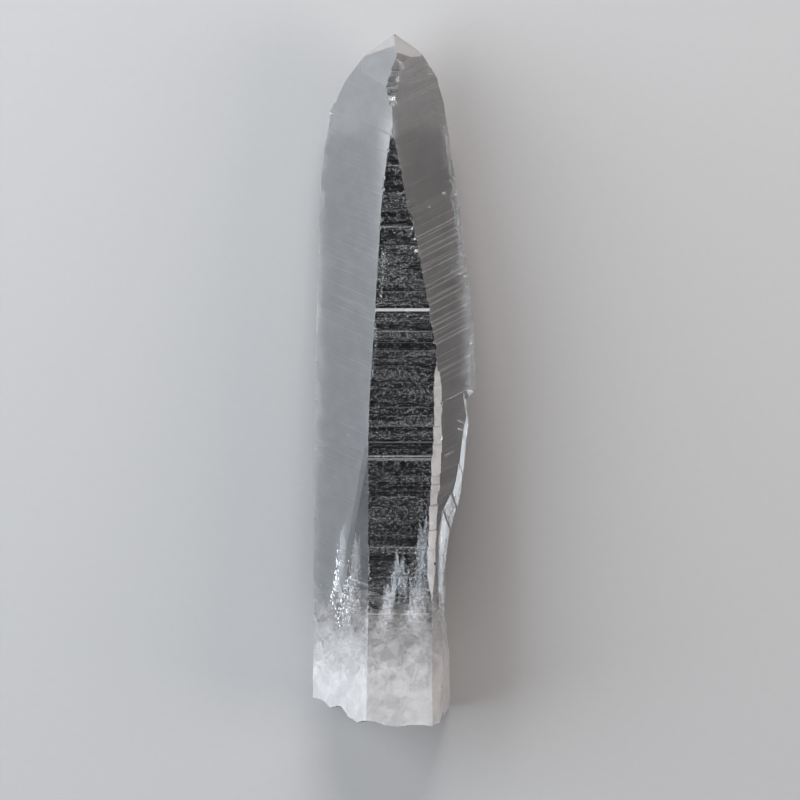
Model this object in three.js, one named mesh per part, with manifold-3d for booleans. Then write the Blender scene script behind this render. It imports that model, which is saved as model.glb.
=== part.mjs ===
// A long quartz crystal with ladder-like growth ledges, in millimetres.
// It lies on its back prism face, with the point along +Y and its best face up.
import * as THREE from 'three';
import { mergeVertices } from 'three/addons/utils/BufferGeometryUtils.js';
import Module from 'manifold-3d';

const wasm = await Module();
wasm.setup();

// While it is built, the axis of the crystal is the Y axis, y = 0 is about the lowest point
// of the broken end, and a face's distance is measured from the axis.
const REST_DISTANCE = 9;

// Cutting blocks reach well past the crystal, which lies between these heights.
const BLOCK_REACH = 40;
const BLOCK_DEPTH = 30;
const LOWEST = -6;
const HIGHEST = 104;

// Quartz has one slope for its point faces: this is their lean from the prism faces.
const POINT_LEAN = 38.2;
const LEDGE_SLOPE = Math.tan(THREE.MathUtils.degToRad(POINT_LEAN));
const RISER_LEAST = 0.01;
const APEX = [0.4, 97.3, 2.5];

// Each prism face: the direction it looks in (degrees round the axis from +X to +Z), how far
// its ledges climb across it, the line (x, z) along which its distances hold, its distance at
// a few heights, and the zones of ledges as from, to, mean spacing, relief and the share of
// the face's taper that is taken by the risers between the ledges. The face that the crystal
// rests on has ledges that are only sunk into it.
const FACES = {
  front: {
    looks: 90,
    climb: 0,
    line: [1.5, 8.8],
    course: [
      [0, 9.0], [38.2, 8.95], [38.7, 8.85], [58.9, 8.85], [59.3, 8.74], [81.6, 8.6], [87.6, 8.56],
      [88.1, 7.9], [88.9, 7.4], [89.8, 7.0], [90.1, 6.85], [90.8, 6.85], [91.0, 6.6], [92.3, 6.6],
      [92.6, 6.25], [94.5, 6.2],
    ],
    zones: [
      [13, 38, 0.95, 0.03, 1], [38.8, 58.8, 0.85, 0.035, 1], [59.4, 84, 1.15, 0.04, 1],
    ],
  },
  rightFront: {
    looks: 30,
    climb: -11,
    line: [4.5, 7],
    course: [
      [0, 9.45], [20, 9.3], [28, 9.5], [39, 10.05], [46.5, 10.13], [53.5, 9.81], [60.5, 8.68],
      [67.6, 7.57], [72.8, 6.72], [73.4, 6.3], [81.6, 5.03], [85.2, 4.31], [88, 4.2], [91, 4.15],
      [97, 4.0],
    ],
    zones: [
      [14, 33, 3.2, 0.03, 0.5], [34, 46, 2.1, 0.07, 1], [46, 53.6, 1.15, 0.1, 1],
      [53.6, 62.6, 0.85, 0.06, 1], [62.6, 64.6, 1.0, 0.02, 0.3], [64.6, 69.6, 0.75, 0.04, 1],
      [69.6, 72.5, 1.5, 0.02, 0.3], [73.6, 88, 2.1, 0.02, 0.25],
    ],
  },
  rightBack: {
    looks: -30,
    climb: 7,
    line: [8.5, -3],
    course: [
      [0, 11.4], [32, 11.2], [46, 10.5], [53, 10.7], [60, 10.7], [66.6, 10.1], [73.5, 10.2],
      [80.4, 9.35], [84, 9.07], [87.6, 8.2], [89.6, 7.3], [91.2, 6.8], [92.5, 6.1], [93.6, 5.1],
      [98, 2.6],
    ],
    zones: [[24, 46, 1.9, 0.06, 1], [47, 66, 1.25, 0.09, 1], [67, 84, 1.8, 0.06, 0.6]],
  },
  back: {
    looks: -90,
    climb: 0,
    line: [0, -9],
    course: [[0, REST_DISTANCE], [98, REST_DISTANCE]],
    zones: [[14, 40, 1.7, 0.07, 1], [56, 79, 1.5, 0.07, 1]],
    rests: true,
  },
  leftBack: {
    looks: 210,
    climb: -6,
    line: [-9.5, -5],
    course: [
      [0, 11.9], [31, 11.77], [45, 11.5], [60, 11.7], [74, 11.85], [80.4, 11.56], [82.5, 11.05],
      [84.9, 10.5], [85.7, 10.75], [86.9, 10.6], [87.3, 9.9], [97, 8.8],
    ],
    zones: [[12, 50, 2.0, 0.05, 1], [51, 82, 1.5, 0.06, 1]],
  },
  leftFront: {
    looks: 150,
    climb: 9,
    line: [-3, 7.5],
    course: [
      [0, 7.7], [17, 7.37], [39, 7.34], [46.5, 7.19], [60.5, 6.37], [74.6, 5.57], [79, 5.15],
      [81.6, 4.79], [85.2, 4.25], [91, 4.15], [97, 4.0],
    ],
    zones: [
      [16, 38.6, 1.9, 0.02, 0.4], [38.8, 58.8, 1.25, 0.022, 0.35], [59.2, 79, 1.4, 0.018, 0.3],
      [79.5, 91, 2.1, 0.015, 0.3],
    ],
  },
  frontBevel: {
    looks: 60,
    climb: -4,
    line: [6.2, 8.4],
    course: [
      [0, 11.6], [15, 11.0], [18.3, 10.56], [21, 10.3], [25, 10.24], [35, 10.48], [50.5, 10.66],
      [52.4, 10.87], [54, 11.4], [98, 14],
    ],
    zones: [[22, 50, 2.3, 0.03, 1]],
  },
  rightEdge: {
    looks: 15,
    climb: -8,
    line: [10, -2],
    course: [
      [0, 12.5], [47, 10.95], [52.6, 10.88], [56, 10.61], [59.6, 10.16], [66.6, 9.09], [70, 8.55],
      [73.5, 7.95], [80.4, 6.89], [84, 6.24], [88, 6.0], [98, 6.0],
    ],
    zones: [[47.5, 70, 1.6, 0.04, 0.7], [71, 84, 2.6, 0.03, 0.4]],
  },
  rightBreak: {
    looks: 4,
    climb: 16,
    line: [9, -5],
    course: [
      [0, 7.2], [3.5, 7.7], [9, 7.6], [12, 7.2], [16, 6.9], [23, 6.9], [27.2, 7.45], [28.7, 8.1],
      [31.5, 9.15], [35, 9.7], [40, 10.3], [41.6, 10.6], [43.6, 10.25], [44.8, 10.2],
      [45.3, 10.6], [45.8, 11.7], [47, 13], [98, 13],
    ],
    zones: [[24, 40, 2.4, 0.04, 0.2]],
  },
};

// Flat faces of the point, as the direction they look in, their lean and a point on each.
const POINT_FACES = [
  { looks: 150, lean: POINT_LEAN, through: APEX },
  { looks: 30, lean: POINT_LEAN, through: APEX },
  { looks: 270, lean: POINT_LEAN, through: APEX },
  { looks: 144, lean: 21, through: [0.66, 95.41, 5.48] },
  { looks: 36, lean: 21, through: [0.66, 95.41, 5.48] },
  { looks: 176, lean: 34, through: [-8.0, 88.4, -4] },
  { looks: 12, lean: 24, through: [6.05, 91.4, -2] },
  { looks: 8, lean: 42, through: [4.95, 93.6, 0] },
];

// Chips along the edges between two faces: from and to height, how many, and their size.
const EDGE_CHIPS = [
  { faces: ['front', 'leftFront'], from: 56, to: 84.5, count: 15, size: [0.12, 0.34] },
  { faces: ['front', 'leftFront'], from: 20, to: 54, count: 6, size: [0.1, 0.22] },
  { faces: ['front', 'rightFront'], from: 54, to: 84.5, count: 11, size: [0.12, 0.3] },
  { faces: ['frontBevel', 'rightFront'], from: 22, to: 51, count: 8, size: [0.12, 0.3] },
  { faces: ['front', 'frontBevel'], from: 24, to: 51, count: 5, size: [0.1, 0.22] },
  { faces: ['leftFront', 'leftBack'], from: 18, to: 82, count: 11, size: [0.12, 0.34] },
  { faces: ['rightFront', 'rightEdge'], from: 48, to: 83, count: 9, size: [0.14, 0.36] },
  { faces: ['rightEdge', 'rightBack'], from: 48, to: 83, count: 8, size: [0.14, 0.4] },
  { faces: ['leftBack', 'back'], from: 10, to: 78, count: 9, size: [0.12, 0.34] },
  { faces: ['rightBack', 'back'], from: 10, to: 78, count: 9, size: [0.12, 0.34] },
];

// Single chips on the ridges of the point and at its left shoulder: where, and their size.
const POINT_CHIPS = [
  { at: [0.05, 87.9, 8.0], size: 0.5 },
  { at: [0.4, 97.25, 2.7], size: 0.2 },
  { at: [4.2, 94.4, 2.2], size: 0.5 },
  { at: [3.2, 94.0, 4.6], size: 0.36 },
  { at: [-8.1, 87.6, -4.9], size: 0.5 },
  { at: [-8.7, 86.4, -5.3], size: 0.42 },
  { at: [-8.9, 85.1, -5.0], size: 0.36 },
];

// Shell-shaped scoops broken out of the lower right side: centre, direction, rim and depth.
const SCOOPS = [
  { at: [11.5, 45.6, 0.8], out: [1, 0.35, 0.25], rim: 1.5, depth: 0.75 },
  { at: [10.9, 40.6, 1.6], out: [1, -0.1, 0.7], rim: 1.9, depth: 0.5 },
  { at: [8.3, 25.2, 0.5], out: [1, -0.15, 0.3], rim: 3.2, depth: 0.7 },
  { at: [8.1, 17.5, -4.5], out: [1, 0.1, -0.2], rim: 4.2, depth: 0.8 },
];
const SCOOP_RINGS = 7;
const SCOOP_SEGMENTS = 16;
const SCOOP_RIPPLE = 0.06;
const SCOOP_WALL = 3;

// The broken end: lowest under END_LOW_X, climbing to both sides, hollow and hackly, with
// waves given as height and turns per millimetre along x and z.
const END_LOW_X = 2;
const END_LIFT = 0.45;
const END_CLIMB = 0.015;
const END_HOLLOW = 1.3;
const END_HOLLOW_AT = [-1.5, -1];
const END_HOLLOW_REACH = [4.5, 3.6];
const END_WAVES = [[0.28, 0.9, 0.5], [0.2, -0.6, 1.3]];
const END_HACKLE = 0.32;
const END_JITTER = 0.35;
const END_COLUMNS = 15;
const END_ROWS = 12;
const END_SPREAD = 28;

/** A generator of numbers from 0 to 1 that repeats for the same seed. */
function seededRandom(seed) {
  let state = seed;
  return () => {
    state = (state + 0x6d2b79f5) | 0;
    let mixed = Math.imul(state ^ (state >>> 15), 1 | state);
    mixed = (mixed + Math.imul(mixed ^ (mixed >>> 7), 61 | mixed)) ^ mixed;
    return ((mixed ^ (mixed >>> 14)) >>> 0) / 4294967296;
  };
}

/** A copy of a geometry with positions only, its shared vertices merged. */
function mergedCopy(geometry) {
  const bare = geometry.clone();
  bare.deleteAttribute('normal');
  bare.deleteAttribute('uv');
  return mergeVertices(bare, 1e-5);
}

/** A three.js geometry as a solid that can be joined and cut. */
function toSolid(geometry) {
  const merged = mergedCopy(geometry);
  return new wasm.Manifold(new wasm.Mesh({
    numProp: 3,
    vertProperties: new Float32Array(merged.attributes.position.array),
    triVerts: new Uint32Array(merged.index.array),
  }));
}

/** A solid as a three.js geometry. */
function toGeometry(solid) {
  const mesh = solid.getMesh();
  const geometry = new THREE.BufferGeometry();
  geometry.setAttribute('position', new THREE.BufferAttribute(new Float32Array(mesh.vertProperties), 3));
  geometry.setIndex(new THREE.BufferAttribute(new Uint32Array(mesh.triVerts), 1));
  return geometry;
}

/** The unit direction that looks out at an angle round the axis, leaning up by another. */
function direction(looks, lean) {
  const round = THREE.MathUtils.degToRad(looks);
  const up = THREE.MathUtils.degToRad(lean);
  return new THREE.Vector3(Math.cos(up) * Math.cos(round), Math.sin(up), Math.cos(up) * Math.sin(round));
}

/** A face's own directions: out of it, along its ledges, and across them towards the point. */
function faceDirections(face) {
  const round = THREE.MathUtils.degToRad(face.looks);
  const climb = THREE.MathUtils.degToRad(face.climb);
  const level = new THREE.Vector3(-Math.sin(round), 0, Math.cos(round));
  const axis = new THREE.Vector3(0, 1, 0);
  const out = direction(face.looks, 0);
  const along = level.clone().multiplyScalar(Math.cos(climb)).addScaledVector(axis, Math.sin(climb));
  const across = level.clone().multiplyScalar(-Math.sin(climb)).addScaledVector(axis, Math.cos(climb));
  return { out, along, across };
}

/** A face's distance from the axis at a height, read between the points of its course. */
function distanceAt(face, height) {
  const course = face.course;
  const last = course.length - 1;
  if (height <= course[0][0]) return course[0][1];
  if (height >= course[last][0]) return course[last][1];
  const next = course.findIndex(([y]) => y >= height);
  const [y0, d0] = course[next - 1];
  const [y1, d1] = course[next];
  return THREE.MathUtils.lerp(d0, d1, (height - y0) / (y1 - y0));
}

/** The treads of one zone of ledges, each at its own small offset from the course. */
function zoneTreads(face, [from, to, spacing, relief, share], random) {
  const treads = [];
  let low = from;
  while (low < to) {
    const high = Math.min(to, low + spacing * (0.45 + 1.1 * random()));
    const offset = relief * (2 * random() - 1);
    const middle = distanceAt(face, (low + high) / 2) + (face.rests ? Math.min(0, offset) : offset);
    const fall = (1 - share) * (distanceAt(face, low) - distanceAt(face, high)) / 2;
    treads.push({ low, high, atLow: middle + fall, atHigh: middle - fall });
    low = high;
  }
  return treads;
}

/** Heights and distances up a face, with every ledge: treads joined by sloping risers. */
function ledgedCourse(face, random) {
  const points = face.course.map(([y, d]) => [y, d]);
  for (const zone of face.zones) {
    const treads = zoneTreads(face, zone, random);
    const inside = ([y]) => y > zone[0] && y < zone[1];
    const kept = points.filter((point) => !inside(point));
    treads.forEach((tread, index) => {
      const room = 0.3 * (tread.high - tread.low);
      const below = index > 0 ? treads[index - 1].atHigh : tread.atLow;
      const above = index < treads.length - 1 ? treads[index + 1].atLow : tread.atHigh;
      const riserBelow = Math.abs(below - tread.atLow) / LEDGE_SLOPE / 2 + RISER_LEAST;
      const riserAbove = Math.abs(above - tread.atHigh) / LEDGE_SLOPE / 2 + RISER_LEAST;
      kept.push([tread.low + Math.min(room, riserBelow), tread.atLow]);
      kept.push([tread.high - Math.min(room, riserAbove), tread.atHigh]);
    });
    points.splice(0, points.length, ...kept);
  }
  points.sort(([a], [b]) => a - b);
  return [[LOWEST, points[0][1]], ...points, [HIGHEST, points.at(-1)[1]]];
}

/** Everything inside one prism face: its ledged outline, drawn side-on and extruded along it. */
function faceBlock(face, seed) {
  const { out, along, across } = faceDirections(face);
  const foot = new THREE.Vector3(face.line[0], 0, face.line[1]).dot(across);
  const rise = Math.cos(THREE.MathUtils.degToRad(face.climb));
  const outline = ledgedCourse(face, seededRandom(seed)).map(([y, d]) => [y * rise + foot, d]);
  const shape = new THREE.Shape();
  const [bottom, lowest] = outline[0];
  const [top, highest] = outline.at(-1);
  shape.moveTo(bottom - BLOCK_REACH, -BLOCK_DEPTH);
  shape.lineTo(top + BLOCK_REACH, -BLOCK_DEPTH);
  shape.lineTo(top + BLOCK_REACH, highest);
  outline.reverse().forEach(([s, d]) => shape.lineTo(s, d));
  shape.lineTo(bottom - BLOCK_REACH, lowest);
  const block = new THREE.ExtrudeGeometry(shape, { depth: 2 * BLOCK_REACH, bevelEnabled: false });
  block.translate(0, 0, -BLOCK_REACH);
  block.applyMatrix4(new THREE.Matrix4().makeBasis(across, out, along.clone().negate()));
  return toSolid(block);
}

/** Everything outside a plane, as a large box standing on it. */
function outsideOf({ looks, lean, through }) {
  const out = direction(looks, lean);
  const box = new THREE.BoxGeometry(4 * BLOCK_REACH, 4 * BLOCK_REACH, 2 * BLOCK_REACH);
  box.translate(0, 0, BLOCK_REACH);
  box.applyQuaternion(new THREE.Quaternion().setFromUnitVectors(new THREE.Vector3(0, 0, 1), out));
  box.translate(...through);
  return toSolid(box);
}

/** The point at a height on the edge where two prism faces meet. */
function edgePoint([nameA, nameB], height) {
  const a = direction(FACES[nameA].looks, 0);
  const b = direction(FACES[nameB].looks, 0);
  const da = distanceAt(FACES[nameA], height);
  const db = distanceAt(FACES[nameB], height);
  const spread = a.x * b.z - a.z * b.x;
  return [(da * b.z - db * a.z) / spread, height, (a.x * db - b.x * da) / spread];
}

/** A small angular cutter for one chip, turned and stretched at random. */
function chipCutter(at, size, random) {
  const chip = new THREE.IcosahedronGeometry(size, 0);
  chip.scale(0.7 + 0.6 * random(), 0.8 + 1.3 * random(), 0.7 + 0.6 * random());
  chip.rotateX(Math.PI * random());
  chip.rotateZ(Math.PI * random());
  chip.translate(...at);
  return toSolid(chip);
}

/** Every small chip along the edges and on the ridges of the point. */
function allChips() {
  const random = seededRandom(41);
  const cutters = POINT_CHIPS.map(({ at, size }) => chipCutter(at, size, random));
  for (const { faces, from, to, count, size } of EDGE_CHIPS) {
    for (let index = 0; index < count; index += 1) {
      const height = THREE.MathUtils.lerp(from, to, (index + 0.15 + 0.7 * random()) / count);
      const radius = THREE.MathUtils.lerp(size[0], size[1], random() ** 2);
      const [x, y, z] = edgePoint(faces, height);
      cutters.push(chipCutter([x, y, z], radius, random));
    }
  }
  return cutters;
}

/** A shell-shaped scoop: a shallow bowl with rings of ripples, opening outwards. */
function scoopCutter({ at, out, rim, depth }) {
  const profile = [new THREE.Vector2(0, -depth)];
  for (let ring = 1; ring <= SCOOP_RINGS; ring += 1) {
    const share = ring / SCOOP_RINGS;
    const ripple = SCOOP_RIPPLE * (ring % 2 === 0 ? 1 : -1);
    profile.push(new THREE.Vector2(rim * share, depth * (share * share - 1) + ripple));
  }
  profile.push(new THREE.Vector2(rim * 1.4, SCOOP_WALL));
  profile.push(new THREE.Vector2(0, SCOOP_WALL));
  const bowl = new THREE.LatheGeometry(profile, SCOOP_SEGMENTS);
  const outwards = new THREE.Vector3(...out).normalize();
  bowl.applyQuaternion(new THREE.Quaternion().setFromUnitVectors(new THREE.Vector3(0, 1, 0), outwards));
  bowl.translate(...at);
  return toSolid(bowl);
}

/** How high the broken end lies at a place across it, before its hackles. */
function endHeight(x, z) {
  const climb = END_LIFT + END_CLIMB * (x - END_LOW_X) ** 2;
  const offX = (x - END_HOLLOW_AT[0]) / END_HOLLOW_REACH[0];
  const offZ = (z - END_HOLLOW_AT[1]) / END_HOLLOW_REACH[1];
  const hollow = END_HOLLOW * Math.exp(-(offX ** 2 + offZ ** 2) / 2);
  const waves = END_WAVES.map(([size, alongX, alongZ]) => size * Math.sin(alongX * x + alongZ * z));
  return waves.reduce((sum, wave) => sum + wave, climb + hollow);
}

/** Everything below the broken end: a box whose top follows the hackly break. */
function endBlock() {
  const random = seededRandom(7);
  const box = new THREE.BoxGeometry(END_SPREAD, 2 * BLOCK_REACH, END_SPREAD, END_COLUMNS, 1, END_ROWS);
  box.translate(0, -BLOCK_REACH, 0);
  const block = mergedCopy(box);
  const position = block.attributes.position;
  for (let index = 0; index < position.count; index += 1) {
    if (position.getY(index) < 0) continue;
    const x = position.getX(index) + END_JITTER * (2 * random() - 1);
    const z = position.getZ(index) + END_JITTER * (2 * random() - 1);
    position.setXYZ(index, x, endHeight(x, z) + END_HACKLE * (2 * random() - 1), z);
  }
  return toSolid(block);
}

/** The whole crystal, still round its axis. */
function crystalSolid() {
  const blocks = Object.values(FACES).map((face, index) => faceBlock(face, 101 + index));
  const prism = blocks.reduce((solid, block) => solid.intersect(block));
  const cutters = [
    ...POINT_FACES.map(outsideOf),
    endBlock(),
    ...SCOOPS.map(scoopCutter),
    ...allChips(),
  ];
  return cutters.reduce((solid, cutter) => solid.subtract(cutter), prism);
}

/** Moves a geometry so that the middle of its footprint is the origin, on z = 0. */
function setDown(geometry) {
  geometry.computeBoundingBox();
  const { min, max } = geometry.boundingBox;
  geometry.translate(-(min.x + max.x) / 2, -(min.y + max.y) / 2, -min.z);
  return geometry;
}

const material = new THREE.MeshStandardMaterial({
  color: 0xdfe3e6,
  roughness: 0.12,
  metalness: 0,
  transparent: true,
  opacity: 0.5,
});
const crystal = new THREE.Mesh(setDown(toGeometry(crystalSolid())), material);
crystal.name = 'quartz_crystal';

const part = new THREE.Group();
part.add(crystal);

export default part;
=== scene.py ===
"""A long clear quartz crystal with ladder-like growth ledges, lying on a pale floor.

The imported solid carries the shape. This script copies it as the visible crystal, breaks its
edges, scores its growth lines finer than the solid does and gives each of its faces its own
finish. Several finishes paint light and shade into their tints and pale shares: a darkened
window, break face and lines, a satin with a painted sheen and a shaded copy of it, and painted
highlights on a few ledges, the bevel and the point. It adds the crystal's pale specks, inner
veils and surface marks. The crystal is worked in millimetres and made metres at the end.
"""

from __future__ import annotations

import logging
import math
import random
from dataclasses import dataclass
from enum import Enum
from typing import Iterable, Union

import bmesh
import bpy
import numpy as np
from mathutils import Matrix, Vector, noise
from mathutils.bvhtree import BVHTree

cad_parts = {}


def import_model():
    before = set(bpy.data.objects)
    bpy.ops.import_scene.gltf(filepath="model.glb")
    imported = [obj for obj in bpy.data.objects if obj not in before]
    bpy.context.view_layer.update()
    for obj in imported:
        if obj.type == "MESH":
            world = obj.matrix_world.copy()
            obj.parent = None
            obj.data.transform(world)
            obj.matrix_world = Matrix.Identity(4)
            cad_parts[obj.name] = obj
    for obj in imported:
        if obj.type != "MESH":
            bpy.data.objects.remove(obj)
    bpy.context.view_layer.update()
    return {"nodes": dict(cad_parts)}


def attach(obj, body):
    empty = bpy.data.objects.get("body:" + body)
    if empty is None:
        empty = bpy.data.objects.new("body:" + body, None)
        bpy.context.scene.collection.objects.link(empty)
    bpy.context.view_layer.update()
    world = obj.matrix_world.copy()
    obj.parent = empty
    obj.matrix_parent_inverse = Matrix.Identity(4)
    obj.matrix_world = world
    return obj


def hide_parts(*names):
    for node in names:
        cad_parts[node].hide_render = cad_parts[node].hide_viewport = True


LOG = logging.getLogger("quartz")

MM = 0.001
CAD_NODE = "quartz_crystal"
BODY = "root"
QUARTZ_IOR = 1.544

LEDGE_MAP = "ledges"
OUTWARD = "outward"
FRONT_SHARE = "window"
GRAIN_SIZE = "grain_size"

MERGE_GAP = 1e-4
CUT_GAP = 1e-5
MAP_SHIFT = 100.0
NO_TURN = (0.0, 0.0, 0.0)
ANY_TURN = (6.28, 6.28, 6.28)
TURN_SEED = 3
NOISE_MEAN = 0.5

Pair = tuple[float, float]
Triple = tuple[float, float, float]
Socket = bpy.types.NodeSocket
Element = Union[bmesh.types.BMVert, bmesh.types.BMEdge, bmesh.types.BMFace]
Value = Union[float, int, str, tuple, bpy.types.NodeSocket, bpy.types.Material]


class Tree:
    """A node tree under construction, with short ways to add and join its nodes."""

    def __init__(self, tree: bpy.types.NodeTree) -> None:
        """Keeps the node tree that is built."""
        self.tree = tree

    def add(
        self,
        kind: str,
        inputs: dict[str | int, Value] | None = None,
        **settings: Value,
    ) -> bpy.types.Node:
        """Adds one node.

        Args:
            kind: Blender's name of the node type.
            inputs: plain values or other nodes' outputs, by input name or number.
            **settings: the node's own properties.

        Returns:
            The new node.
        """
        node = self.tree.nodes.new(kind)
        for name, value in settings.items():
            setattr(node, name, value)
        for key, value in (inputs or {}).items():
            if isinstance(value, bpy.types.NodeSocket):
                self.tree.links.new(value, node.inputs[key])
            else:
                node.inputs[key].default_value = value
        return node

    def join(self, output: Socket, goal: Socket) -> None:
        """Links one node's output to another node's input."""
        self.tree.links.new(output, goal)

    def math(self, operation: str, *values: Value) -> Socket:
        """Adds a Math node and returns its output."""
        return self.add("ShaderNodeMath", dict(enumerate(values)), operation=operation).outputs[0]

    def scaled(self, vector: Value, factors: Triple) -> Socket:
        """Multiplies a vector by one factor for each axis and returns the result."""
        return self.add("ShaderNodeVectorMath", {0: vector, 1: factors}, operation="MULTIPLY").outputs[0]

    def sized(self, vector: Value, factor: Value) -> Socket:
        """Multiplies a whole vector by one factor and returns the result."""
        return self.add("ShaderNodeVectorMath", {0: vector, "Scale": factor}, operation="SCALE").outputs[0]

    def spread(
        self,
        value: Value,
        low: float,
        high: float,
        to_low: float = 0.0,
        to_high: float = 1.0,
    ) -> Socket:
        """Maps a value from one range to another, smoothly and held at its ends.

        Args:
            value: the value that is mapped.
            low: the value that becomes to_low.
            high: the value that becomes to_high.
            to_low: one end of the new range.
            to_high: the other end of the new range.

        Returns:
            The mapped value.
        """
        wanted = {"Value": value, "From Min": low, "From Max": high, "To Min": to_low, "To Max": to_high}
        return self.add("ShaderNodeMapRange", wanted, interpolation_type="SMOOTHSTEP").outputs["Result"]

    def noise(
        self,
        place: Value,
        scale: Value = 1.0,
        detail: float = 2.0,
        roughness: float = 0.5,
        dimensions: str = "3D",
    ) -> Socket:
        """Adds smooth noise.

        Args:
            place: where it is read.
            scale: how many times finer than the place it is.
            detail: how many finer layers it has.
            roughness: how strong each finer layer is.
            dimensions: Blender's name for the number of its axes.

        Returns:
            The noise, from 0 to 1.
        """
        wanted = {"Vector": place, "Scale": scale, "Detail": detail, "Roughness": roughness}
        return self.add("ShaderNodeTexNoise", wanted, noise_dimensions=dimensions).outputs[0]

    def random(self, low: Value, high: Value, seed: Value, vector: bool = False) -> Socket:
        """Adds a random value for each point.

        Args:
            low: the least value.
            high: the greatest value.
            seed: the seed.
            vector: whether the value is a vector and not a number.

        Returns:
            The random value.
        """
        first, kind, output = (0, "FLOAT_VECTOR", 0) if vector else (2, "FLOAT", 1)
        wanted = {first: low, first + 1: high, "Seed": seed}
        return self.add("FunctionNodeRandomValue", wanted, data_type=kind).outputs[output]

    def attribute(self, name: str, kind: str) -> Socket:
        """Reads a named attribute of the mesh, of Blender's data type kind."""
        return self.add("GeometryNodeInputNamedAttribute", {"Name": name}, data_type=kind).outputs[0]

    def moved(self, points: Socket, offset: Socket) -> Socket:
        """Moves points by an offset and returns them."""
        return self.add("GeometryNodeSetPosition", {"Geometry": points, "Offset": offset}).outputs[0]

    def blended(self, share: Socket, low: Triple, high: Triple) -> Socket:
        """Mixes two colours.

        Args:
            share: how much of the second colour there is, from 0 to 1.
            low: the first colour.
            high: the second colour.

        Returns:
            The mixed colour.
        """
        wanted = {"Factor": share, 6: (*low, 1.0), 7: (*high, 1.0)}
        return self.add("ShaderNodeMix", wanted, data_type="RGBA").outputs[2]

    def spike(self) -> Socket:
        """Adds a small closed four-sided spike, which specks and flakes are made of."""
        sizes = {"Vertices": 4, "Radius Top": 0.0, "Radius Bottom": 1.0, "Depth": 1.2}
        return self.add("GeometryNodeMeshCone", sizes, fill_type="NGON").outputs[0]


def node_group(name: str, inputs: dict[str, float], outputs: Iterable[str]) -> Tree:
    """Makes a shader node group with named float inputs and outputs.

    Args:
        name: the group's name.
        inputs: the default of each input, by name.
        outputs: the names of the outputs.

    Returns:
        The group's tree, still empty.
    """
    group = bpy.data.node_groups.new(name, "ShaderNodeTree")
    for label, default in inputs.items():
        socket = group.interface.new_socket(label, in_out="INPUT", socket_type="NodeSocketFloat")
        socket.default_value = default
    for label in outputs:
        group.interface.new_socket(label, in_out="OUTPUT", socket_type="NodeSocketFloat")
    return Tree(group)


class Shape:
    """A Geometry Nodes tree that sets small shapes on a mesh, with named inputs."""

    SOCKETS = {float: "NodeSocketFloat", int: "NodeSocketInt", tuple: "NodeSocketVector"}

    def __init__(self, name: str, inputs: dict[str, Value]) -> None:
        """Makes the tree and its inputs.

        Args:
            name: the tree's name.
            inputs: the value of each input, by name.
        """
        self.tree = Tree(bpy.data.node_groups.new(name, "GeometryNodeTree"))
        self.inputs = inputs
        panel = self.tree.tree.interface
        panel.new_socket("Geometry", in_out="INPUT", socket_type="NodeSocketGeometry")
        panel.new_socket("Geometry", in_out="OUTPUT", socket_type="NodeSocketGeometry")
        self.identifiers = {
            label: panel.new_socket(label, in_out="INPUT", socket_type=self.SOCKETS[type(value)]).identifier
            for label, value in inputs.items()
        }
        self.given = self.tree.add("NodeGroupInput").outputs

    def points(self) -> Socket:
        """Adds a point at each corner of the mesh that the tree is given."""
        return self.tree.add("GeometryNodeMeshToPoints", {"Mesh": self.given["Geometry"]}).outputs[0]

    def strew(
        self,
        points: Socket,
        instance: Socket,
        turn: Socket,
        scale: Socket,
        material: bpy.types.Material,
    ) -> None:
        """Ends the tree: sets a copy at each point, makes the copies real and gives their material.

        Args:
            points: where the copies go.
            instance: the shape that is copied.
            turn: how each copy is turned.
            scale: how large each copy is.
            material: the material of all copies.
        """
        wanted = {"Points": points, "Instance": instance, "Rotation": turn, "Scale": scale}
        copies = self.tree.add("GeometryNodeInstanceOnPoints", wanted).outputs[0]
        real = self.tree.add("GeometryNodeRealizeInstances", {0: copies}).outputs[0]
        dressed = self.tree.add("GeometryNodeSetMaterial", {"Geometry": real, "Material": material})
        self.tree.add("NodeGroupOutput", {0: dressed.outputs[0]})

    def made_from(self, mesh: bpy.types.Mesh, name: str) -> bpy.types.Mesh:
        """Runs the tree on a mesh.

        Args:
            mesh: the mesh that the tree is given.
            name: the name of the result.

        Returns:
            The result as a plain mesh.
        """
        carrier = placed(mesh, name + "_carrier")
        modifier = carrier.modifiers.new("shape", "NODES")
        modifier.node_group = self.tree.tree
        for label, value in self.inputs.items():
            modifier[self.identifiers[label]] = value
        result = plain_mesh(carrier, name)
        bpy.data.objects.remove(carrier)
        return result


def plain_mesh(carrier: bpy.types.Object, name: str) -> bpy.types.Mesh:
    """Takes an object's evaluated shape, and clears its modifiers.

    Args:
        carrier: the object with its modifiers.
        name: the name of the result.

    Returns:
        The shape as a mesh of its own.
    """
    graph = bpy.context.evaluated_depsgraph_get()
    result = bpy.data.meshes.new_from_object(carrier.evaluated_get(graph))
    result.name = name
    carrier.modifiers.clear()
    return result


def placed(mesh: bpy.types.Mesh, name: str) -> bpy.types.Object:
    """Puts a mesh in the scene.

    Args:
        mesh: the mesh.
        name: the new object's name.

    Returns:
        The new object.
    """
    made = bpy.data.objects.new(name, mesh)
    bpy.context.scene.collection.objects.link(made)
    return made


def shown(mesh: bpy.types.Mesh, name: str) -> bpy.types.Object:
    """Puts a finished mesh in the scene as a piece of the crystal.

    Args:
        mesh: the mesh, in metres.
        name: the piece's name.

    Returns:
        The piece, riding on the crystal's body.
    """
    made = placed(mesh, name)
    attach(made, BODY)
    return made


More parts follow.
